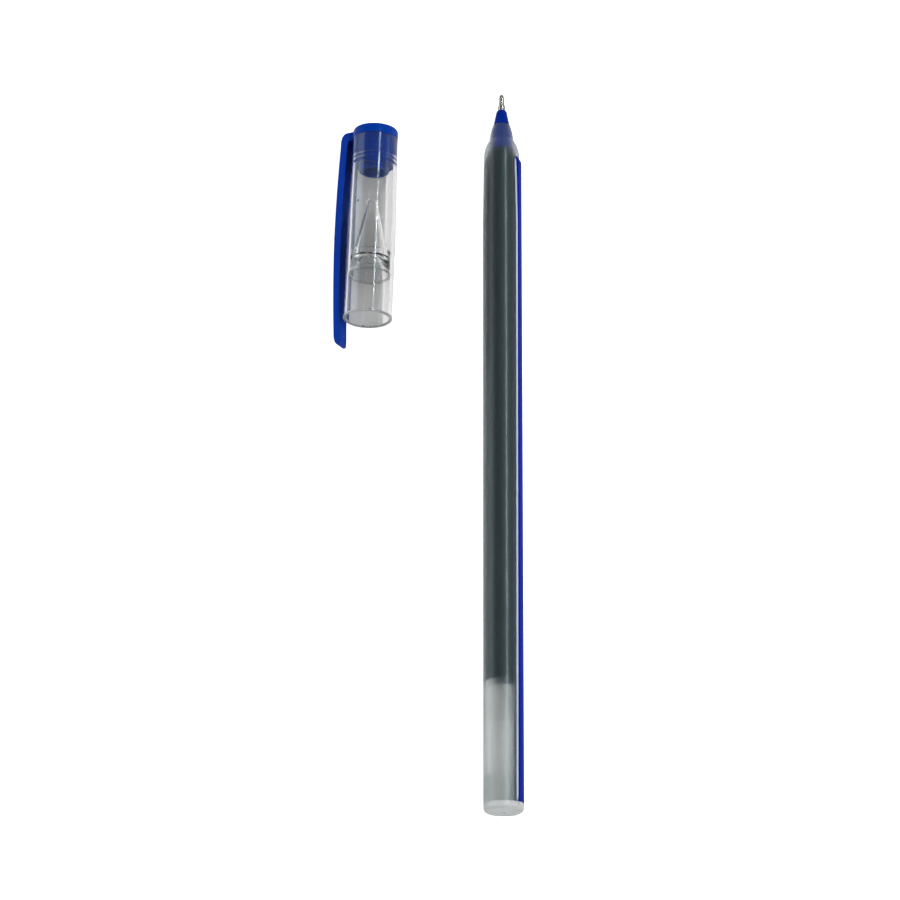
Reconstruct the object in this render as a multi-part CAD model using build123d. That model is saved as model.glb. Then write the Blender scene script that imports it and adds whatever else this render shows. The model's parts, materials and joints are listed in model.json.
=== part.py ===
from build123d import *
import math
import os

# Direct-fill gel pen with its cap off, both lying on a flat surface. Millimetres.
# The pen's axis is the Y axis, with the writing tip towards +Y and Z up.
# The origin is on that axis, halfway along the pen.
# "s" is a distance back from the writing point, along the pen.
# "c" is a distance in from the cap's mouth, along the cap.

# Overall
PEN_LENGTH = 138.5
BARREL_D = 7.0
BORE_D = 5.0

# Writing tip: a ball held in a turned metal point
BALL_D = 0.70
BALL_PLAY = 0.02
BALL_OUT = 0.20
LIP_D = 0.78
NEEDLE_D = 1.06
NEEDLE_LENGTH = 2.1
POINT_SHANK_D = 1.40
POINT_LENGTH = 8.0
POINT_FEED_D = 0.84
BALL_FEED_D = 0.36

# Tip holder: a blue cone whose shank plugs the barrel's nose
POINT_OUT = 3.4
HOLDER_LENGTH = 3.1
HOLDER_FRONT_D = 1.96
HOLDER_BACK_D = 3.06
HOLDER_SHANK_D = 2.70
HOLDER_SHANK_LENGTH = 5.0
HOLDER_FEED_D = 0.90

# Barrel: domed nose, rounded shoulder, then a slow taper up to the full diameter.
# The shoulder ends this far inside the full radius.
NOSE_LENGTH = 3.2
NOSE_WALL = 0.27
NOSE_BACK_D = 4.60
NOSE_BULGE = 0.10
SHOULDER_LENGTH = 3.4
SHOULDER_DROP = 0.20
SHOULDER_BULGE = 0.27
TAPER_LENGTH = 13.0
BORE_CONE_LENGTH = 2.5

# Raised coloured stripe along one side of the barrel, sunk into this share of its
# wall at the shoulder. Its front edge starts this share of that depth below the skin.
STRIPE_OUT = 0.20
STRIPE_SINK = 0.3125
STRIPE_FRONT_W = 4.03
STRIPE_BACK_W = 4.78
STRIPE_FRONT = 13.4
STRIPE_RAMP = 0.8
STRIPE_EDGE = 0.2

# End plug with its vent
PLUG_FLANGE = 1.45
PLUG_CORNER = 0.80
PLUG_SHANK = 5.0
PLUG_WALL = 0.80
VENT_D = 0.80

# Ink column and the grease follower behind it
INK_END = 115.8
FOLLOWER_LENGTH = 6.0
FOLLOWER_PLAY = 0.05
FOLLOWER_GAP = 0.02

# Cap
CAP_LENGTH = 37.9
CAP_WALL = 0.60
CAP_CLEARANCE = 0.25
CAP_STRAIGHT = 20.0
CAP_TOP_D = 8.44
CAP_TOP_WALL = 0.52
CAP_TOP_STRAIGHT = 2.0
CAP_LIP = 0.12
CAP_STEP = 0.18
COLLAR_SET_BACK = 0.1

# Inner cap: collar and sealing cone that the nose enters
SEAL_CLEARANCE = 0.15
CAP_SEAT = 12.1
WEB = 0.80
CONE_WALL = 0.50
CONE_BASE_D = 6.30
CONE_TIP_D = 2.10
CONE_LENGTH = 11.4
CONE_ROUND = 0.90

# Cap plug and clip
CAP_FLANGE = 1.9
CAP_FLANGE_ROUND = 0.35
SPIGOT = 5.6
SPIGOT_GROOVE = 0.20
SPIGOT_GROOVE_W = 0.45
STEM_D = 5.5
STEM = 1.0
STEM_BORE_D = 4.0
STEM_BORE = 5.0
CLIP_W = 3.2
CLIP_END_W = 2.5
CLIP_T = 1.35
CLIP_TOP_OUT = 2.25
CLIP_MID_OUT = 2.70
CLIP_END_OUT = 2.05
CLIP_PAST_MOUTH = 4.6
CLIP_SPLIT = 0.20
CLIP_ROUND = 0.85

# Where the cap lies, measured from the pen's axis and from the writing point
CAP_ACROSS = 24.73
CAP_BACK = 46.0
CAP_YAW = 1.72

# Sizes that follow from the ones above
R_BARREL = BARREL_D / 2
R_BORE = BORE_D / 2
R_STRIPE = R_BARREL + STRIPE_OUT
R_SHOULDER = R_BARREL - SHOULDER_DROP
R_STRIPE_ROOT = R_SHOULDER - STRIPE_SINK * (R_SHOULDER - R_BORE)
R_STRIPE_EDGE = R_SHOULDER - STRIPE_EDGE * (R_SHOULDER - R_STRIPE_ROOT)
HOLDER_START = POINT_OUT
NOSE_START = HOLDER_START + HOLDER_LENGTH
NOSE_END = NOSE_START + NOSE_LENGTH
SHOULDER_END = NOSE_END + SHOULDER_LENGTH
TAPER_END = SHOULDER_END + TAPER_LENGTH
HOLDER_END = NOSE_START + HOLDER_SHANK_LENGTH
BORE_FULL = HOLDER_END + BORE_CONE_LENGTH
BARREL_END = PEN_LENGTH - PLUG_FLANGE
R_CAP_BORE = R_STRIPE + CAP_CLEARANCE
R_COLLAR = R_CAP_BORE - CAP_STEP
R_CAP = R_CAP_BORE + CAP_WALL
R_CAP_TOP = CAP_TOP_D / 2
R_TOP_BORE = R_CAP_TOP - CAP_TOP_WALL
TUBE_END = CAP_LENGTH - CAP_FLANGE
CAP_TAPER_END = TUBE_END - CAP_TOP_STRAIGHT
COLLAR_START = CAP_SEAT + NOSE_END - STRIPE_FRONT + 0.1


def pen_y(s):
    """Y of a point s behind the writing point."""
    return PEN_LENGTH / 2 - s


def turned(points):
    """Solid turned about the Y axis from (radius, y) points."""
    return revolve(make_face(Polyline(*points, close=True)), Axis.Y)


def turned_pen(points):
    """Solid turned about the pen's axis from (radius, s) points."""
    return turned([(r, pen_y(s)) for r, s in points])


def bulged(p, q, bulge):
    """Middle point of an arc from p to q that stands out of its chord by bulge."""
    dx, dy = q[0] - p[0], q[1] - p[1]
    run = math.hypot(dx, dy)
    return ((p[0] + q[0]) / 2 + bulge * dy / run, (p[1] + q[1]) / 2 - bulge * dx / run)


def nose_arcs(grow=0.0):
    """(radius, s) points of the nose dome and of the shoulder, each start, middle, end."""
    r0 = HOLDER_SHANK_D / 2 + NOSE_WALL + grow
    r1 = NOSE_BACK_D / 2 + grow
    r2 = R_SHOULDER + grow
    dome = [(r0, NOSE_START), None, (r1, NOSE_END)]
    shoulder = [(r1, NOSE_END), None, (r2, SHOULDER_END)]
    dome[1] = bulged(dome[0], dome[2], NOSE_BULGE)
    shoulder[1] = bulged(shoulder[0], shoulder[2], SHOULDER_BULGE)
    return dome, shoulder


def stripe_band():
    """Block that holds everything on the stripe's side, as wide as the stripe."""
    front, back = pen_y(STRIPE_FRONT - 1), pen_y(PEN_LENGTH + 1)
    half_front, half_back = STRIPE_FRONT_W / 2, STRIPE_BACK_W / 2
    corners = [(front, -half_front), (front, half_front), (back, half_back), (back, -half_back)]
    face = make_face(Polyline(*corners, close=True))
    return extrude(Plane.YZ.offset(R_BORE * 0.4) * face, R_BARREL * 2)


def ball():
    return Pos(0, pen_y(BALL_D / 2), 0) * Sphere(BALL_D / 2)


def metal_point():
    needle_end = NEEDLE_LENGTH + (POINT_SHANK_D - NEEDLE_D)
    outside = [
        (0, BALL_OUT),
        (LIP_D / 2, BALL_OUT),
        (NEEDLE_D / 2 - 0.02, BALL_OUT + 0.6),
        (NEEDLE_D / 2, NEEDLE_LENGTH),
        (POINT_SHANK_D / 2, needle_end),
        (POINT_SHANK_D / 2, POINT_LENGTH),
        (0, POINT_LENGTH),
    ]
    feed = [
        (0, BALL_D / 2),
        (BALL_FEED_D / 2, BALL_D / 2),
        (BALL_FEED_D / 2, NEEDLE_LENGTH),
        (POINT_FEED_D / 2, needle_end),
        (POINT_FEED_D / 2, POINT_LENGTH + 1),
        (0, POINT_LENGTH + 1),
    ]
    seat = Pos(0, pen_y(BALL_D / 2), 0) * Sphere(BALL_D / 2 + BALL_PLAY)
    return turned_pen(outside) - turned_pen(feed) - seat


def tip_holder():
    start, shank, end = HOLDER_START, NOSE_START, HOLDER_END
    edge = 0.25
    outside = [
        (0, start),
        (HOLDER_FRONT_D / 2 - edge * 0.8, start),
        (HOLDER_FRONT_D / 2, start + edge),
        (HOLDER_BACK_D / 2, shank),
        (HOLDER_SHANK_D / 2, shank),
        (HOLDER_SHANK_D / 2, end),
        (0, end),
    ]
    inside = [
        (0, start - 1),
        (POINT_SHANK_D / 2, start - 1),
        (POINT_SHANK_D / 2, POINT_LENGTH),
        (HOLDER_FEED_D / 2, POINT_LENGTH),
        (HOLDER_FEED_D / 2, end + 1),
        (0, end + 1),
    ]
    return turned_pen(outside) - turned_pen(inside)


def bore_solid():
    """The barrel's inside, from the nose to the rear."""
    return turned_pen([
        (0, NOSE_START - 1),
        (HOLDER_SHANK_D / 2, NOSE_START - 1),
        (HOLDER_SHANK_D / 2, HOLDER_END),
        (R_BORE, BORE_FULL),
        (R_BORE, BARREL_END + 1),
        (0, BARREL_END + 1),
    ])


def stripe():
    root = R_STRIPE_ROOT
    ramp = STRIPE_FRONT + STRIPE_RAMP
    section = turned_pen([
        (root, STRIPE_FRONT),
        (R_STRIPE_EDGE, STRIPE_FRONT),
        (R_STRIPE, ramp),
        (R_STRIPE, BARREL_END),
        (root, BARREL_END),
    ])
    return section & stripe_band()


def barrel(stripe_solid):
    dome, shoulder = nose_arcs()
    at = [[(r, pen_y(s)) for r, s in arc] for arc in (dome, shoulder)]
    axis_front, axis_back = (0, pen_y(NOSE_START)), (0, pen_y(BARREL_END))
    outline = (
        Line(axis_front, at[0][0])
        + ThreePointArc(*at[0])
        + ThreePointArc(*at[1])
        + Line(at[1][2], (R_BARREL, pen_y(TAPER_END)))
        + Line((R_BARREL, pen_y(TAPER_END)), (R_BARREL, pen_y(BARREL_END)))
        + Line((R_BARREL, pen_y(BARREL_END)), axis_back)
        + Line(axis_back, axis_front)
    )
    return revolve(make_face(outline), Axis.Y) - bore_solid() - stripe_solid


def rounded_disc(radius):
    """Flange disc of the end plug, rounded at its rear edge."""
    turn = PLUG_CORNER * math.sin(math.radians(45))
    inset = PLUG_CORNER - turn
    rear = pen_y(PEN_LENGTH)
    outline = (
        Line((0, pen_y(BARREL_END)), (radius, pen_y(BARREL_END)))
        + Line((radius, pen_y(BARREL_END)), (radius, rear + PLUG_CORNER))
        + ThreePointArc(
            (radius, rear + PLUG_CORNER),
            (radius - inset, rear + inset),
            (radius - PLUG_CORNER, rear),
        )
        + Line((radius - PLUG_CORNER, rear), (0, rear))
        + Line((0, rear), (0, pen_y(BARREL_END)))
    )
    return revolve(make_face(outline), Axis.Y)


def end_plug():
    flange = rounded_disc(R_BARREL) + (rounded_disc(R_STRIPE) & stripe_band())
    front = BARREL_END - PLUG_SHANK
    shank = turned_pen([(0, front), (R_BORE, front), (R_BORE, BARREL_END), (0, BARREL_END)])
    cup = R_BORE - PLUG_WALL
    hollow = turned_pen([(0, front - 1), (cup, front - 1), (cup, BARREL_END), (0, BARREL_END)])
    vent = turned_pen([
        (0, front),
        (VENT_D / 2, front),
        (VENT_D / 2, PEN_LENGTH + 1),
        (0, PEN_LENGTH + 1),
    ])
    return flange + shank - hollow - vent


def ink():
    """Ink column, from the back of the metal point to the follower."""
    return turned_pen([
        (0, POINT_LENGTH),
        (HOLDER_FEED_D / 2, POINT_LENGTH),
        (HOLDER_FEED_D / 2, HOLDER_END),
        (HOLDER_SHANK_D / 2, HOLDER_END),
        (R_BORE, BORE_FULL),
        (R_BORE, INK_END),
        (0, INK_END),
    ])


def ink_follower():
    front = INK_END + FOLLOWER_GAP
    r = R_BORE - FOLLOWER_PLAY
    return turned_pen([
        (0, front),
        (r - 0.3, front),
        (r, front + 0.5),
        (r, front + FOLLOWER_LENGTH),
        (0, front + FOLLOWER_LENGTH),
    ])


def cap_tube():
    return turned([
        (R_CAP_BORE + CAP_LIP, 0),
        (R_CAP - CAP_LIP, 0),
        (R_CAP, CAP_LIP),
        (R_CAP, CAP_STRAIGHT),
        (R_CAP_TOP, CAP_TAPER_END),
        (R_CAP_TOP, TUBE_END),
        (R_TOP_BORE, TUBE_END),
        (R_TOP_BORE, TUBE_END - SPIGOT),
        (R_COLLAR, CAP_STRAIGHT),
        (R_COLLAR, COLLAR_START),
        (R_CAP_BORE, COLLAR_START),
        (R_CAP_BORE, CAP_LIP),
    ])


def inner_cap():
    """Collar, web and closed cone that seal the nose when the cap is on."""
    _, shoulder = nose_arcs(SEAL_CLEARANCE)
    inside = [(r, CAP_SEAT + NOSE_END - s) for r, s in shoulder]
    front = COLLAR_START + COLLAR_SET_BACK
    web = CAP_SEAT + WEB
    base, tip = CONE_BASE_D / 2, CONE_TIP_D / 2
    cone_end = web + CONE_LENGTH
    outside = (
        Line((0, front), (R_COLLAR, front))
        + Line((R_COLLAR, front), (R_COLLAR, web))
        + Line((R_COLLAR, web), (base, web))
        + Line((base, web), (tip, cone_end - CONE_ROUND))
        + ThreePointArc(
            (tip, cone_end - CONE_ROUND),
            (tip * 0.80, cone_end - CONE_ROUND * 0.27),
            (tip * 0.35, cone_end),
        )
        + Line((tip * 0.35, cone_end), (0, cone_end))
        + Line((0, cone_end), (0, front))
    )
    mouth = inside[2][1]
    hollow_end = cone_end - CONE_ROUND
    hollow = (
        Line((0, mouth - 1), (inside[2][0], mouth - 1))
        + Line((inside[2][0], mouth - 1), inside[2])
        + ThreePointArc(inside[2], inside[1], inside[0])
        + Line(inside[0], (inside[0][0], web + 0.3))
        + Line((inside[0][0], web + 0.3), (tip - CONE_WALL, hollow_end))
        + Line((tip - CONE_WALL, hollow_end), (0, hollow_end))
        + Line((0, hollow_end), (0, mouth - 1))
    )
    return revolve(make_face(outside), Axis.Y) - revolve(make_face(hollow), Axis.Y)


def clip_slab():
    """Clip and its bridge in side view, out along -X from the cap's axis, cut to width."""
    top = CAP_LENGTH - 0.05
    under = TUBE_END + 0.1
    r_top = R_CAP_TOP + CLIP_TOP_OUT
    r_mid = R_CAP_TOP + CLIP_MID_OUT
    r_end = R_CAP_TOP + CLIP_END_OUT
    arm_top, arm_mid, arm_end = TUBE_END - 1.2, CAP_LENGTH * 0.43, 1.5 - CLIP_PAST_MOUTH
    end = -CLIP_PAST_MOUTH
    root = R_CAP_TOP * 0.75
    shape = (
        Line((root, under), (root, top))
        + Line((root, top), (R_CAP_TOP + 1.1, top - 0.08))
        + Spline(
            (R_CAP_TOP + 1.1, top - 0.08),
            (r_top - 0.34, top - 0.62),
            (r_top, arm_top),
            tangents=[(1, -0.1), (0.02, -1)],
        )
        + ThreePointArc((r_top, arm_top), (r_mid, arm_mid), (r_end, arm_end))
        + Line((r_end, arm_end), (r_end - CLIP_ROUND * 0.35, end + 0.45))
        + Line((r_end - CLIP_ROUND * 0.35, end + 0.45), (r_end - CLIP_ROUND * 0.85, end))
        + Line((r_end - CLIP_ROUND * 0.85, end), (r_end - CLIP_T, end))
        + Line((r_end - CLIP_T, end), (r_end - CLIP_T, arm_end))
        + ThreePointArc(
            (r_end - CLIP_T, arm_end), (r_mid - CLIP_T, arm_mid), (r_top - CLIP_T, arm_top)
        )
        + Line((r_top - CLIP_T, arm_top), (r_top - CLIP_T - 0.25, under))
        + Line((r_top - CLIP_T - 0.25, under), (root, under))
    )
    slab = extrude(mirror(make_face(shape), Plane.YZ), CLIP_W / 2, both=True)
    taper = [
        (end - 1, -CLIP_END_W / 2),
        (end - 1, CLIP_END_W / 2),
        (arm_mid, CLIP_W / 2),
        (CAP_LENGTH + 1, CLIP_W / 2),
        (CAP_LENGTH + 1, -CLIP_W / 2),
        (arm_mid, -CLIP_W / 2),
    ]
    side_cut = extrude(Plane.YZ * make_face(Polyline(*taper, close=True)), -R_CAP_TOP * 3)
    return slab & side_cut


def split_block():
    """Everything on the clip's side of the face where the clip meets the plug."""
    start = R_CAP_TOP + CLIP_SPLIT
    return Pos(-start - 10, 0, 0) * Box(20, CAP_LENGTH * 4, 20)


def cap_plug(slab):
    groove = R_TOP_BORE - SPIGOT_GROOVE
    low = TUBE_END - SPIGOT
    body = turned([
        (0, low - STEM),
        (STEM_D / 2, low - STEM),
        (STEM_D / 2, low),
        (groove, low),
        (R_TOP_BORE, low + 0.2),
        (R_TOP_BORE, low + 0.75),
        (groove, low + 0.75),
        (groove, low + 0.75 + SPIGOT_GROOVE_W),
        (R_TOP_BORE, low + 0.75 + SPIGOT_GROOVE_W),
        (R_TOP_BORE, low + 1.6),
        (groove, low + 1.6),
        (groove, low + 1.6 + SPIGOT_GROOVE_W),
        (R_TOP_BORE, low + 1.6 + SPIGOT_GROOVE_W),
        (R_TOP_BORE, TUBE_END),
        (R_CAP_TOP, TUBE_END),
        (R_CAP_TOP, CAP_LENGTH - CAP_FLANGE_ROUND),
        (R_CAP_TOP - CAP_FLANGE_ROUND * 0.3, CAP_LENGTH - CAP_FLANGE_ROUND * 0.3),
        (R_CAP_TOP - CAP_FLANGE_ROUND, CAP_LENGTH),
        (0, CAP_LENGTH),
    ])
    bore_end = low - STEM + STEM_BORE
    bore = turned([
        (0, low - STEM - 1),
        (STEM_BORE_D / 2, low - STEM - 1),
        (STEM_BORE_D / 2, bore_end),
        (0, bore_end),
    ])
    return body + (slab - split_block()) - bore


def clip(slab):
    return slab & split_block()


def cap_roll():
    """Degrees the clip hangs below level when its edge touches the surface the cap lies on."""
    reach = R_CAP_TOP + CLIP_MID_OUT
    half = CLIP_W / 2
    lean = math.asin((R_CAP - 0.03) / math.hypot(reach, half))
    return math.degrees(lean - math.atan2(half, reach))


def cap_place():
    """Location that takes the cap from its own axis, mouth at the origin, to where it lies."""
    mouth = Pos(-CAP_ACROSS, pen_y(CAP_BACK), R_CAP - R_BARREL)
    return mouth * Rot(0, 0, -CAP_YAW) * Rot(0, -cap_roll(), 0)


def main():
    os.makedirs("parts", exist_ok=True)
    stripe_solid = stripe()
    slab = clip_slab()
    place = cap_place()
    pieces = {
        "ball": ball(),
        "metal_point": metal_point(),
        "tip_holder": tip_holder(),
        "barrel": barrel(stripe_solid),
        "stripe": stripe_solid,
        "end_plug": end_plug(),
        "ink": ink(),
        "ink_follower": ink_follower(),
        "cap_tube": place * cap_tube(),
        "inner_cap": place * inner_cap(),
        "cap_plug": place * cap_plug(slab),
        "clip": place * clip(slab),
    }
    for name, solid in pieces.items():
        export_step(solid, "parts/" + name + ".step")
        print(name, len(solid.solids()), round(solid.volume, 3))
    hinge = place * Pos(-R_CAP_TOP - CLIP_SPLIT, CAP_LENGTH - 0.1, 0)
    print("cap mouth", place.position, "cap axis", (place * Pos(0, 1, 0)).position - place.position)
    print("clip hinge", hinge.position, "axis", (place * Pos(0, 0, -1)).position - place.position)
    print("cap top centre", (place * Pos(0, CAP_LENGTH, 0)).position, "roll", cap_roll())


main()
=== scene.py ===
import bmesh
import bpy
import json
import math
from mathutils import Matrix, Vector, noise


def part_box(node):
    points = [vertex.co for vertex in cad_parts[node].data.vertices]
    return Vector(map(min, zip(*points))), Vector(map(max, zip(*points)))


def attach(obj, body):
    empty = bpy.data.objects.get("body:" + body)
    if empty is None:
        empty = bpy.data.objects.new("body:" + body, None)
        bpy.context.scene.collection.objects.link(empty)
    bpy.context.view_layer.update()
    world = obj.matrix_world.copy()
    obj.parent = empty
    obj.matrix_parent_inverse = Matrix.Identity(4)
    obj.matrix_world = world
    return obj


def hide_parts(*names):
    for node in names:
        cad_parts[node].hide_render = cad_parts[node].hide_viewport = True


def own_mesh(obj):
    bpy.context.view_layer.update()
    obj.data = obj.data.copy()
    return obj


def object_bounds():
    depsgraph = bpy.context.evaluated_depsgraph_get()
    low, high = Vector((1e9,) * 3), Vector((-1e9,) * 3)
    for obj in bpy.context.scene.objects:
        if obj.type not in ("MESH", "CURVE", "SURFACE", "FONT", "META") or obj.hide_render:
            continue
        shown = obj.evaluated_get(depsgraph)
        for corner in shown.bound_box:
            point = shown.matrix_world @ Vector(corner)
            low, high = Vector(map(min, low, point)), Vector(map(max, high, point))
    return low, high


# Direct-fill gel pen and its clear cap, uncapped, side by side on a pale table.
# Everything is in metres, in the row frame: the pen's axis is Y, its tip is towards +Y.

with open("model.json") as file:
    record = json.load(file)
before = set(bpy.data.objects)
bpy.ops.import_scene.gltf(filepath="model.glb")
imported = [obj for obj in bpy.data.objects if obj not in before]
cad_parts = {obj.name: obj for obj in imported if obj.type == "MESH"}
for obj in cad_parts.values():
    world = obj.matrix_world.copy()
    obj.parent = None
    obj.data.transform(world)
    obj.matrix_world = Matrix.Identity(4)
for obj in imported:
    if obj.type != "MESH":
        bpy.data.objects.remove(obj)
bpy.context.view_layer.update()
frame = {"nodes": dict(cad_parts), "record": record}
nodes = frame["nodes"]
scene = bpy.context.scene
MM = 0.001

# Sizes of the CAD model that its boxes and mounts don't hold, in millimetres.
# "s" is a distance back from the writing point, "c" a distance in from the cap's mouth.
R_BARREL, R_BORE, R_SHOULDER = 3.5, 2.5, 3.3
SHOULDER_S, PARALLEL_S = 13.1, 26.1  # the barrel's slow taper lies between these
HOLDER_COVER_S = 6.6  # the barrel covers the tip holder from here on
STRIPE_W_FRONT, STRIPE_W_REAR = 4.03, 4.78
STRIPE_W_FRONT_S, STRIPE_W_REAR_S = 12.4, 139.5  # where those widths are measured
FEED_R, NOSE_BORE_R = 0.45, 1.35
FEED_START_S, FEED_END_S, BORE_FULL_S = 8.0, 11.5, 14.0
CAP_FLANGE = 1.9
MOUNT_C = 4.31  # the cap_mouth mount sits this far in
COLLAR_INSIDE_R = 3.60  # only the collar's outer wall lies outside this radius


def mount(name):
    return next(m for m in frame["record"]["mounts"] if m["name"] == name)


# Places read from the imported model
TIP_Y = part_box("ball")[1].y
FLOOR_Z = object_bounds()[0].z
BARREL_REAR_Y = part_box("barrel")[0].y
CAP_AXIS = Vector(mount("cap_top")["axis"]).normalized()
CAP_ORIGIN = Vector(mount("cap_mouth")["pos_m"]) - CAP_AXIS * MOUNT_C * MM
CAP_LENGTH = (Vector(mount("cap_top")["pos_m"]) - CAP_ORIGIN).length


def pen_y(s):
    """Y of a point s millimetres behind the writing point."""
    return TIP_Y - s * MM


def back(y):
    """Millimetres from the writing point back to y."""
    return (TIP_Y - y) / MM


# ---------------------------------------------------------------- materials


class Nodes:
    """Short calls that build one material's nodes."""

    def __init__(self, name):
        self.mat = bpy.data.materials.new(name)
        self.mat.use_nodes = True
        self.tree = self.mat.node_tree
        self.tree.nodes.clear()
        self.out = self.tree.nodes.new("ShaderNodeOutputMaterial")
        self.bsdf = self.tree.nodes.new("ShaderNodeBsdfPrincipled")
        self.tree.links.new(self.bsdf.outputs[0], self.out.inputs["Surface"])
        self.coord = self.tree.nodes.new("ShaderNodeTexCoord").outputs["Object"]

    def link(self, a, b):
        self.tree.links.new(a, b)

    def scaled(self, scale, turn=(0, 0, 0)):
        """Object coordinates, scaled and turned."""
        n = self.tree.nodes.new("ShaderNodeMapping")
        n.inputs["Scale"].default_value = scale
        n.inputs["Rotation"].default_value = turn
        self.link(self.coord, n.inputs["Vector"])
        return n.outputs[0]

    def noise(self, scale, detail=3.0, rough=0.5, at=None):
        n = self.tree.nodes.new("ShaderNodeTexNoise")
        n.inputs["Scale"].default_value = scale
        n.inputs["Detail"].default_value = detail
        n.inputs["Roughness"].default_value = rough
        self.link(at or self.coord, n.inputs["Vector"])
        return n.outputs["Fac"]

    def rings(self, scale, distortion):
        """Bands square to the pen's axis."""
        n = self.tree.nodes.new("ShaderNodeTexWave")
        n.bands_direction = "Y"
        n.inputs["Scale"].default_value = scale
        n.inputs["Distortion"].default_value = distortion
        self.link(self.coord, n.inputs["Vector"])
        return n.outputs["Fac"]

    def specks(self, scale):
        n = self.tree.nodes.new("ShaderNodeTexVoronoi")
        n.inputs["Scale"].default_value = scale
        self.link(self.coord, n.inputs["Vector"])
        return n.outputs["Distance"]

    def spread(self, value, low, high):
        """A noise value, stretched to run from low to high."""
        n = self.tree.nodes.new("ShaderNodeMapRange")
        n.inputs["From Min"].default_value = 0.3
        n.inputs["From Max"].default_value = 0.7
        n.inputs["To Min"].default_value = low
        n.inputs["To Max"].default_value = high
        self.link(value, n.inputs["Value"])
        return n.outputs["Result"]

    def between(self, value, colours):
        """Colour by value, from (place, colour) stops."""
        n = self.tree.nodes.new("ShaderNodeValToRGB")
        ramp = n.color_ramp
        while len(ramp.elements) < len(colours):
            ramp.elements.new(0.5)
        for e, (at, c) in zip(ramp.elements, colours):
            e.position = at
            e.color = (*c, 1)
        self.link(value, n.inputs["Fac"])
        return n.outputs["Color"]

    def bump(self, heights):
        """heights: (value, strength, distance) from coarse to fine."""
        last = None
        for value, strength, distance in heights:
            n = self.tree.nodes.new("ShaderNodeBump")
            n.inputs["Strength"].default_value = strength
            n.inputs["Distance"].default_value = distance
            self.link(value, n.inputs["Height"])
            if last:
                self.link(last, n.inputs["Normal"])
            last = n.outputs["Normal"]
        self.link(last, self.bsdf.inputs["Normal"])

    def set(self, **values):
        """Plain numbers on the shader's own sockets."""
        for k, v in values.items():
            self.bsdf.inputs[k.replace("_", " ")].default_value = v


PLASTIC_IOR = 1.49
ALONG = (1, 0.06, 1)  # streaks drawn out along the pen


def frosted(name, colour_low, colour_high, transmission, rough, veil=0.0, coat=0.0):
    """Matt see-through plastic. veil adds a pale haze, coat a thin gloss."""
    m = Nodes(name)
    patches = m.noise(420, 4, 0.6)
    streaks = m.noise(1500, 3, 0.55, m.scaled(ALONG))
    grain = m.noise(9000, 2, 0.6)
    base = m.between(patches, [(0.35, colour_low), (0.65, colour_high)])
    m.link(base, m.bsdf.inputs["Base Color"])
    m.link(m.spread(streaks, rough - 0.05, rough + 0.06), m.bsdf.inputs["Roughness"])
    m.bump([(patches, 0.03, 0.00010), (streaks, 0.03, 0.00002), (grain, 0.12, 0.000008)])
    m.set(IOR=PLASTIC_IOR, Transmission_Weight=transmission)
    if veil:
        m.set(Sheen_Weight=veil, Sheen_Roughness=0.30)
        m.bsdf.inputs["Sheen Tint"].default_value = (0.84, 0.94, 0.95, 1)
        m.bsdf.inputs["Specular Tint"].default_value = (0.45, 0.78, 0.88, 1)
    if coat:
        m.set(Coat_Weight=coat, Coat_Roughness=0.16, Coat_IOR=1.4)
    return m.mat


def clear(name, colour_low, colour_high, rough, transmission=1.0, relief=1.0):
    """Polished clear plastic with soft flow lines, scratches and dust. relief scales its bumps."""
    m = Nodes(name)
    flow = m.noise(260, 3, 0.5, m.scaled((1, 0.25, 1)))
    scratches = m.noise(5200, 4, 0.7, m.scaled((1, 0.05, 1), (0, 0, 0.35)))
    dust = m.specks(1900)
    base = m.between(flow, [(0.35, colour_low), (0.65, colour_high)])
    m.link(base, m.bsdf.inputs["Base Color"])
    m.link(m.spread(scratches, rough * 0.6, rough * 1.6), m.bsdf.inputs["Roughness"])
    m.bump([
        (flow, 0.12 * relief, 0.00010),
        (scratches, 0.06 * relief, 0.000005),
        (dust, 0.03 * relief, 0.000004),
    ])
    m.set(IOR=PLASTIC_IOR, Transmission_Weight=transmission)
    m.bsdf.inputs["Specular Tint"].default_value = (0.50, 0.66, 0.76, 1)
    return m.mat


def coloured(name, dark, light, rough, coat):
    """Solid blue plastic with flow marks, scuffs and a fine grain."""
    m = Nodes(name)
    flow = m.noise(330, 4, 0.6, m.scaled((1, 0.2, 1)))
    grain = m.noise(8000, 3, 0.6)
    scuffs = m.noise(4200, 4, 0.7, m.scaled((1, 0.06, 1), (0, 0, 0.2)))
    m.link(m.between(flow, [(0.32, dark), (0.68, light)]), m.bsdf.inputs["Base Color"])
    m.link(m.spread(scuffs, rough - 0.07, rough + 0.09), m.bsdf.inputs["Roughness"])
    m.bump([(flow, 0.08, 0.00008), (scuffs, 0.08, 0.000008), (grain, 0.20, 0.000006)])
    m.set(IOR=1.5, Specular_IOR_Level=0.03, Coat_Weight=coat, Coat_Roughness=0.14)
    m.bsdf.inputs["Specular Tint"].default_value = (0.3, 0.5, 1.0, 1)
    return m.mat


def metal(name, dark, light, rough, ring_scale):
    """Turned metal with fine rings."""
    m = Nodes(name)
    rings = m.rings(ring_scale, 0.6)
    tarnish = m.noise(1500, 4, 0.6)
    m.link(m.between(tarnish, [(0.35, dark), (0.65, light)]), m.bsdf.inputs["Base Color"])
    polish = m.noise(6000, 3, 0.6, m.scaled((1, 4, 1)))
    m.link(m.spread(polish, rough - 0.05, rough + 0.10), m.bsdf.inputs["Roughness"])
    m.bump([(rings, 0.05, 0.000004), (tarnish, 0.05, 0.000006)])
    m.set(Metallic=1.0)
    m.bsdf.inputs["Specular Tint"].default_value = (0.35, 0.34, 0.33, 1)
    return m.mat


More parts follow.
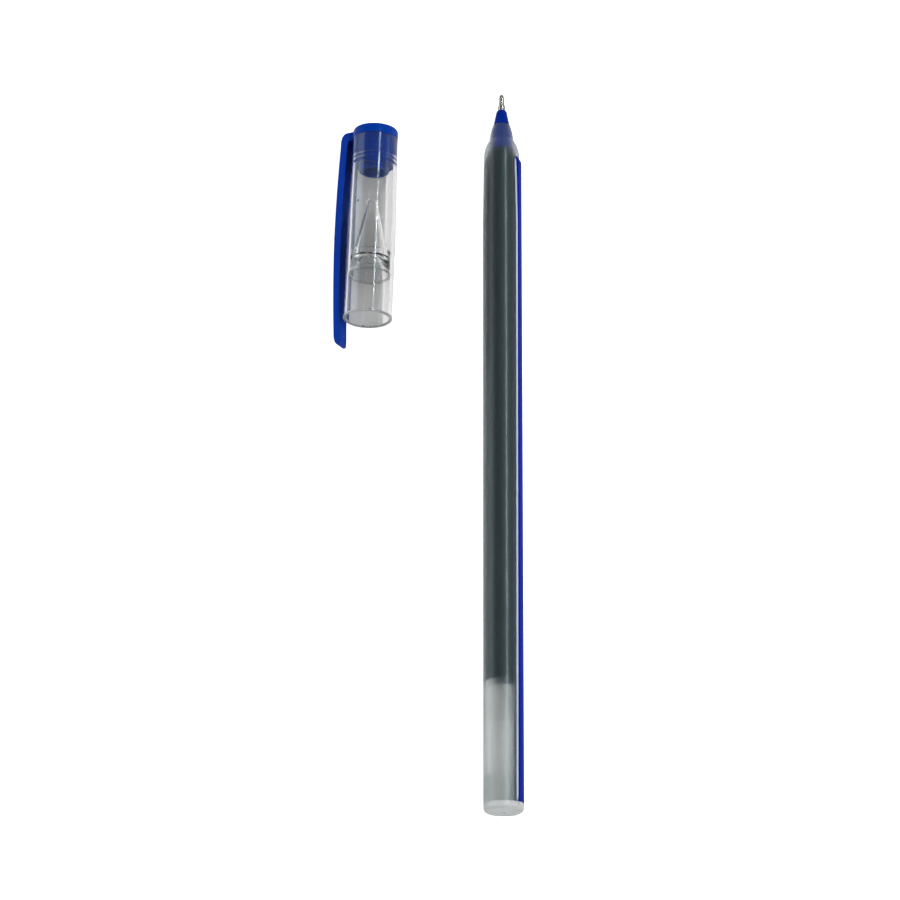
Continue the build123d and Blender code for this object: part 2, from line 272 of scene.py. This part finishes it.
def inky(name):
    """Dark gel ink, with faint clumps and drain lines."""
    m = Nodes(name)
    clumps = m.noise(520, 5, 0.65, m.scaled((1, 0.35, 1)))
    drain = m.noise(1700, 3, 0.6, m.scaled((1, 0.05, 1)))
    base = m.between(clumps, [(0.3, (0.0008, 0.0035, 0.0060)), (0.7, (0.0030, 0.0100, 0.0150))])
    m.link(base, m.bsdf.inputs["Base Color"])
    m.link(m.spread(drain, 0.22, 0.45), m.bsdf.inputs["Roughness"])
    m.bump([(clumps, 0.15, 0.00012), (drain, 0.12, 0.00004)])
    m.set(IOR=1.42, Specular_IOR_Level=0.06)
    return m.mat


MAT = {
    "barrel": frosted("frosted_barrel", (0.92, 0.95, 0.94), (0.97, 0.985, 0.98), 0.985, 0.48, 0.72, coat=0.4),
    "plug": frosted("frosted_plug", (0.84, 0.86, 0.85), (0.89, 0.91, 0.90), 0.45, 0.38, 0.10, coat=0.25),
    "grease": frosted("clear_grease", (0.90, 0.92, 0.90), (0.95, 0.97, 0.95), 0.72, 0.40),
    "cap": clear("clear_cap", (0.972, 0.977, 0.972), (0.992, 0.994, 0.992), 0.045, 0.992),
    "inner": clear("clear_inner_cap", (0.985, 0.988, 0.988), (0.999, 0.999, 0.999), 0.05, 0.99, 0.3),
    # Pale matt ring material: the mouth's matt rim, and at the collar a painted highlight.
    "rim": frosted("matt_rim", (0.84, 0.85, 0.85), (0.93, 0.935, 0.93), 0.35, 0.30),
    "holder": coloured("blue_holder", (0.0005, 0.016, 0.22), (0.001, 0.024, 0.29), 0.42, 0.02),
    "stripe": coloured("blue_stripe", (0.0005, 0.010, 0.25), (0.001, 0.015, 0.31), 0.45, 0.02),
    "top": coloured("blue_cap_plug", (0.0005, 0.032, 0.28), (0.001, 0.044, 0.35), 0.34, 0.06),
    "clip": coloured("blue_clip", (0.0005, 0.028, 0.29), (0.001, 0.040, 0.36), 0.36, 0.06),
    # Pale bluish bead colour: a painted highlight along the stripe's edge.
    "painted_highlight_bead": frosted("pale_painted_highlight_bead", (0.50, 0.60, 0.72), (0.60, 0.68, 0.80), 0.15, 0.34),
    "point": metal("point_metal", (0.30, 0.29, 0.27), (0.46, 0.45, 0.42), 0.16, 3200),
    "ball": metal("ball_metal", (0.30, 0.31, 0.33), (0.44, 0.45, 0.47), 0.14, 9000),
    "ink": inky("gel_ink"),
}


def floor_material():
    """Pale, nearly plain surface. Its own light is weaker for everything but the camera."""
    seen_glow, own_glow = 0.75, 0.15
    m = Nodes("pale_table")
    sheen = m.noise(14, 3, 0.5)
    grain = m.noise(1400, 3, 0.6)
    base = m.between(sheen, [(0.3, (0.84, 0.84, 0.84)), (0.7, (0.87, 0.87, 0.87))])
    m.link(base, m.bsdf.inputs["Base Color"])
    m.link(m.spread(grain, 0.65, 0.8), m.bsdf.inputs["Roughness"])
    m.bump([(grain, 0.05, 0.00005)])
    m.set(Specular_IOR_Level=0.1)
    path = m.tree.nodes.new("ShaderNodeLightPath")
    glow = m.tree.nodes.new("ShaderNodeMath")
    glow.operation = "MULTIPLY_ADD"
    glow.inputs[1].default_value = seen_glow
    glow.inputs[2].default_value = own_glow
    m.link(path.outputs["Is Camera Ray"], glow.inputs[0])
    m.link(glow.outputs[0], m.bsdf.inputs["Emission Strength"])
    m.bsdf.inputs["Emission Color"].default_value = (1, 1, 1, 1)
    return m.mat


# ---------------------------------------------------------------- pieces


def give(obj, mat):
    obj.data.materials.clear()
    obj.data.materials.append(mat)


def smooth(obj, degrees=32):
    """Smooth faces, with the edges sharper than this angle kept sharp."""
    mesh = obj.data
    bm = bmesh.new()
    bm.from_mesh(mesh)
    for f in bm.faces:
        f.smooth = True
    for e in bm.edges:
        if len(e.link_faces) == 2:
            e.smooth = e.calc_face_angle() < math.radians(degrees)
    bm.to_mesh(mesh)
    bm.free()


def new_object(name, bm, mat, body, degrees=32):
    mesh = bpy.data.meshes.new(name)
    bmesh.ops.recalc_face_normals(bm, faces=bm.faces)
    bm.to_mesh(mesh)
    bm.free()
    obj = bpy.data.objects.new(name, mesh)
    scene.collection.objects.link(obj)
    give(obj, mat)
    smooth(obj, degrees)
    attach(obj, body)
    return obj


def pen_point(r, a, s):
    """Place at radius r mm and angle a round the pen, s mm behind its writing point."""
    return r * MM * math.cos(a), pen_y(s), r * MM * math.sin(a)


def cap_point(r, a, c):
    """Place at radius r mm and angle a round the cap, c mm in from its mouth."""
    side = Vector((CAP_AXIS.y, -CAP_AXIS.x, 0))
    return CAP_ORIGIN + CAP_AXIS * c * MM + side * r * MM * math.cos(a) + Vector((0, 0, r * MM * math.sin(a)))


def lathe(profile, segments=72, wobble=None, place=pen_point):
    """bmesh turned about an axis from (radius mm, distance mm) points; a zero radius closes an end."""
    bm = bmesh.new()
    rings = []
    for r, s in profile:
        if r < 1e-6:
            rings.append([bm.verts.new(place(0, 0, s))])
            continue
        ring = []
        for k in range(segments):
            a = 2 * math.pi * k / segments
            dy = wobble(a, s) if wobble else 0.0
            ring.append(bm.verts.new(place(r, a, s + dy)))
        rings.append(ring)
    for one, two in zip(rings, rings[1:]):
        for k in range(segments):
            n = (k + 1) % segments
            corners = []
            for ring, i in ((one, k), (one, n), (two, n), (two, k)):
                v = ring[i] if len(ring) > 1 else ring[0]
                if v not in corners:
                    corners.append(v)
            if len(corners) > 2:
                bm.faces.new(corners)
    return bm


def grown(node, name, mat, body, amount, degrees=32, where=None):
    """Copy of a CAD node, pressed outwards by amount mm where it lies in another piece's wall."""
    mesh = nodes[node].data
    bm = bmesh.new()
    bm.from_mesh(mesh)
    bmesh.ops.remove_doubles(bm, verts=bm.verts, dist=1e-7)
    bmesh.ops.recalc_face_normals(bm, faces=bm.faces)
    bm.normal_update()
    moves = [(v, v.normal.copy()) for v in bm.verts if where is None or where(v.co)]
    for v, n in moves:
        v.co += n * amount * MM
    obj = new_object(name, bm, mat, body, degrees)
    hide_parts(node)
    return obj


# CAD nodes that keep their own mesh
for node, mat in (("ball", "ball"), ("metal_point", "point"), ("barrel", "barrel"), ("stripe", "stripe"),
                  ("ink_follower", "grease"), ("cap_tube", "cap"), ("clip", "clip")):
    give(nodes[node], MAT[mat])


def off_cap_axis(p):
    """Distance of a point from the cap's axis."""
    out = p - CAP_ORIGIN
    return (out - CAP_AXIS * out.dot(CAP_AXIS)).length


# Pieces pressed into a see-through wall: their skin lies just inside it, so no air gap shows
EDGE = 0.05 * MM
CAP_PLUG_LOW = CAP_ORIGIN + CAP_AXIS * (CAP_LENGTH - CAP_FLANGE * MM - EDGE)
grown("tip_holder", "tip_holder_pressed", MAT["holder"], "pen", 0.015,
      where=lambda p: p.y < pen_y(HOLDER_COVER_S))
grown("end_plug", "end_plug_pressed", MAT["plug"], "pen", 0.012,
      where=lambda p: p.y > BARREL_REAR_Y + EDGE)
grown("cap_plug", "cap_plug_pressed", MAT["top"], "cap", 0.012,
      where=lambda p: (p - CAP_PLUG_LOW).dot(CAP_AXIS) < 0)
# The inner cap's collar stands a hair clear of the tube, so light crosses one clean gap
grown("inner_cap", "inner_cap_fitted", MAT["inner"], "cap", -0.03,
      where=lambda p: off_cap_axis(p) > COLLAR_INSIDE_R * MM)

# Ink: a still part in the nose, and the column behind it.
# Both reach this far into the wall, so that they wet it.
WET = 0.02
R_COLUMN = R_BORE + WET
COLUMN_FRONT, COLUMN_REAR = BORE_FULL_S, back(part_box("ink")[0].y)


def ink_feed():
    """Ink in the holder's bore and in the cone behind it."""
    half_way_r, half_way_s = 1.92, 12.75  # on the cone
    profile = [(0, FEED_START_S), (FEED_R, FEED_START_S), (FEED_R, FEED_END_S)]
    profile += [(NOSE_BORE_R + WET, FEED_END_S), (half_way_r + WET, half_way_s)]
    profile += [(R_COLUMN, BORE_FULL_S), (0, BORE_FULL_S)]
    obj = new_object("ink_feed", lathe(profile), MAT["ink"], "pen")
    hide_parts("ink")


def column_profile():
    """Straight side, then a soft round end at the rear, as (radius, s)."""
    steps, straight_end = 60, COLUMN_REAR - 1.6
    points = [(0, COLUMN_FRONT)]
    points += [(R_COLUMN, COLUMN_FRONT + (straight_end - COLUMN_FRONT) * k / steps) for k in range(steps + 1)]
    rear_end = ((2.50, 1.0), (2.45, 0.75), (2.36, 0.5), (2.2, 0.3), (1.9, 0.15), (1.3, 0.04), (0, 0))
    return points + [(r, COLUMN_REAR - before) for r, before in rear_end]


def ragged(a, s):
    """Uneven rear edge of the ink where it meets the wall."""
    depth, ripple = 0.3, 2.1
    near = max(0.0, 1.0 - abs(s - (COLUMN_REAR - 1.1)))
    where = Vector((ripple * math.cos(a), ripple * math.sin(a), 5.0))
    return -depth * near * (0.5 + noise.noise(where))


def ink_column():
    obj = new_object("ink_column", lathe(column_profile(), wobble=ragged), MAT["ink"], "pen")
    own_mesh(obj)


ink_feed()
ink_column()


def sleeve(name, outer, inner, mat, body, place, steps=12):
    """Thin closed shell of revolution between two walls, each given by its two (radius, distance) ends."""
    loop = []
    for (r0, d0), (r1, d1) in ((outer[0], outer[1]), (inner[1], inner[0])):
        loop += [(r0 + (r1 - r0) * k / steps, d0 + (d1 - d0) * k / steps) for k in range(steps + 1)]
    bm = lathe(loop + loop[:1], place=place)
    bmesh.ops.remove_doubles(bm, verts=bm.verts, dist=1e-8)
    return new_object(name, bm, mat, body, 60)


def grease_film_and_painted_light():
    """Film of grease left on the bore behind the follower, up to the end plug; its pale diffuse white is also
    painted light that brightens the empty barrel.
    """
    r_out, r_in = R_BORE - 0.015, R_BORE - 0.045
    front = back(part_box("ink_follower")[0].y) + 0.1
    rear = back(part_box("end_plug")[1].y) - 0.1
    # Pale, mostly diffuse film: grease residue, and painted light on the empty barrel.
    mat = frosted("grease_film_and_painted_light", (0.93, 0.95, 0.945), (0.98, 0.99, 0.985), 0.34, 0.45)
    sleeve("grease_film_and_painted_light", ((r_out, front), (r_out, rear)), ((r_in, front), (r_in, rear)), mat, "pen",
           pen_point)


grease_film_and_painted_light()

# Cap: a pale matt ring at the collar, which is a painted highlight on its step, and a matt edge at the mouth,
# each just inside the clear wall
sleeve("collar_painted_highlight_ring", ((3.70, 8.60), (3.70, 8.74)), ((3.50, 8.60), (3.50, 8.74)), MAT["rim"], "cap",
       cap_point, 3)
sleeve("mouth_matt_rim", ((4.50, 0.05), (4.52, 0.32)), ((4.02, 0.05), (4.00, 0.32)), MAT["rim"], "cap",
       cap_point, 3)


def ink_mark_and_painted_reflection(name, r, a, c, wide, long):
    """Small dark mark in the ink material on the inside of the cap: deep in the cap a dried smear of ink,
    near the collar a painted reflection.
    """
    thick, unevenness = 0.02, 0.25
    bm = bmesh.new()
    bmesh.ops.create_icosphere(bm, subdivisions=3, radius=1.0)
    for v in bm.verts:
        lump = 1 + unevenness * noise.noise(v.co * 1.7 + Vector((c, 0, 0)))
        v.co = cap_point(r + thick * v.co.z, a + wide * lump * v.co.x / r, c + long * lump * v.co.y)
    return new_object(name, bm, MAT["ink"], "cap", 60)


ink_mark_and_painted_reflection("ink_trace_deep", 3.90, 2.25, 22.3, 0.16, 0.20)
# Near the collar the dark mark is a painted reflection of the blue parts seen through the wall.
ink_mark_and_painted_reflection("painted_reflection_collar", 3.76, 2.52, 11.2, 0.22, 0.55)


def stripe_half_width(s):
    share = (s - STRIPE_W_FRONT_S) / (STRIPE_W_REAR_S - STRIPE_W_FRONT_S)
    return (STRIPE_W_FRONT + (STRIPE_W_REAR - STRIPE_W_FRONT) * share) / 2


def barrel_radius(s):
    if s > PARALLEL_S:
        return R_BARREL
    return R_SHOULDER + (R_BARREL - R_SHOULDER) * (s - SHOULDER_S) / (PARALLEL_S - SHOULDER_S)


def painted_highlight_bead(name, side):
    """Thin pale bead in the corner where the stripe stands proud of the barrel; its pale colour is a painted
    highlight along the stripe's edge.
    """
    steps, sunk, width = 90, 0.05, 0.10
    front = back(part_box("stripe")[1].y) + 0.7
    rear = back(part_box("stripe")[0].y) - 0.2
    bm = bmesh.new()
    rings = []
    for k in range(steps + 1):
        s = front + (rear - front) * k / steps
        skin = barrel_radius(s)
        fade = min(1.0, (s - front) / 1.5, (rear - s) / 0.6)
        edge = math.asin(stripe_half_width(s) / skin)
        wide = width + 0.012 * noise.noise(Vector((s * 0.35, side, 3.1)))
        section = ((0.01, -sunk), (0.01, 0.085 * fade), (0.35, 0.075 * fade), (0.7, 0.045 * fade),
                   (1.0, 0.004), (1.0, -sunk))
        rings.append([bm.verts.new(pen_point(skin + up, side * (edge + wide * across), s))
                      for across, up in section])
    for one, two in zip(rings, rings[1:]):
        n = len(one)
        for i in range(n):
            bm.faces.new((one[i], one[(i + 1) % n], two[(i + 1) % n], two[i]))
    bm.faces.new(rings[0])
    bm.faces.new(rings[-1])
    return new_object(name, bm, MAT["painted_highlight_bead"], "pen", 50)


# Both beads carry the painted highlight along the stripe's edges.
painted_highlight_bead("stripe_painted_highlight_bead_upper", 1)
painted_highlight_bead("stripe_painted_highlight_bead_lower", -1)

# ---------------------------------------------------------------- table, light, camera


def table():
    """Flat under the pen, sinking gently away beyond flat_radius."""
    bm = bmesh.new()
    size, cells = 2.4, 24
    flat_radius, sink, gap = 0.6, 0.02, 0.00002
    verts = {}
    for i in range(cells + 1):
        for j in range(cells + 1):
            x, y = (i / cells - 0.5) * size, (j / cells - 0.5) * size
            far = max(0.0, math.hypot(x, y) - flat_radius)
            verts[i, j] = bm.verts.new((x, y, FLOOR_Z - gap - sink * far * far))
    for i in range(cells):
        for j in range(cells):
            bm.faces.new((verts[i, j], verts[i + 1, j], verts[i + 1, j + 1], verts[i, j + 1]))
    mesh = bpy.data.meshes.new("table")
    bm.to_mesh(mesh)
    bm.free()
    obj = bpy.data.objects.new("table", mesh)
    scene.collection.objects.link(obj)
    give(obj, floor_material())
    for p in mesh.polygons:
        p.use_smooth = True


table()


def studio_world():
    """Pale room: brighter at the sides than straight overhead, plain white where the camera sees it."""
    world = bpy.data.worlds.new("studio")
    scene.world = world
    world.use_nodes = True
    t = world.node_tree
    t.nodes.clear()
    coord = t.nodes.new("ShaderNodeTexCoord")
    split = t.nodes.new("ShaderNodeSeparateXYZ")
    t.links.new(coord.outputs["Generated"], split.inputs[0])
    height = t.nodes.new("ShaderNodeValToRGB")
    stops = height.color_ramp.elements
    stops = [stops[0], stops[1], stops.new(0.5), stops.new(0.8)]
    for e, (at, v) in zip(stops, ((0.0, 1.3), (1.0, 0.05), (0.5, 1.0), (0.8, 0.35))):
        e.position = at
        e.color = (v, v, v * 1.01, 1)
    t.links.new(split.outputs["Z"], height.inputs["Fac"])
    sky = t.nodes.new("ShaderNodeBackground")
    sky.inputs["Strength"].default_value = 0.38
    t.links.new(height.outputs["Color"], sky.inputs["Color"])
    plain = t.nodes.new("ShaderNodeBackground")
    plain.inputs["Color"].default_value = (1, 1, 1, 1)
    plain.inputs["Strength"].default_value = 1.0
    path = t.nodes.new("ShaderNodeLightPath")
    mix = t.nodes.new("ShaderNodeMixShader")
    t.links.new(path.outputs["Is Camera Ray"], mix.inputs[0])
    t.links.new(sky.outputs[0], mix.inputs[1])
    t.links.new(plain.outputs[0], mix.inputs[2])
    out = t.nodes.new("ShaderNodeOutputWorld")
    t.links.new(mix.outputs[0], out.inputs["Surface"])


studio_world()


def area_light(name, place, target, size, watts):
    """Rectangular light at place, facing target, its long side along the pen."""
    data = bpy.data.lights.new(name, "AREA")
    data.shape = "RECTANGLE"
    data.size, data.size_y = size
    data.energy = watts
    obj = bpy.data.objects.new(name, data)
    scene.collection.objects.link(obj)
    place, target = Vector(place), Vector(target)
    away = (place - target).normalized()
    side = Vector((0, 1, 0)).cross(away).normalized()
    up = away.cross(side)
    obj.matrix_world = Matrix((
        (side.x, up.x, away.x, place.x),
        (side.y, up.y, away.y, place.y),
        (side.z, up.z, away.z, place.z),
        (0, 0, 0, 1)))
    return obj


area_light("strip_tube", (0.36, 0.05, 0.80), (0, 0, 0), (0.030, 1.20), 6.0)
area_light("left_window", (-1.2, 0.1, 0.33), (0, 0, 0), (0.8, 1.4), 5.6)
area_light("right_window", (1.0, 0.0, 0.30), (0, 0, 0), (0.35, 1.2), 1.1)

CAMERA_AT = Vector((-9.51, -214.48, 593.52)) * MM
CAMERA_TILT, CAMERA_ROLL = 0.344, 0.003
cam_data = bpy.data.cameras.new("camera")
cam_data.sensor_width = 36.0
cam_data.lens = 138.9
cam_data.clip_start = 0.01
cam_data.clip_end = 20.0
camera = bpy.data.objects.new("camera", cam_data)
scene.collection.objects.link(camera)
camera.matrix_world = (Matrix.Translation(CAMERA_AT) @ Matrix.Rotation(CAMERA_TILT, 4, "X")
                       @ Matrix.Rotation(CAMERA_ROLL, 4, "Z"))
scene.camera = camera

scene.view_settings.view_transform = "Standard"
scene.view_settings.look = "None"
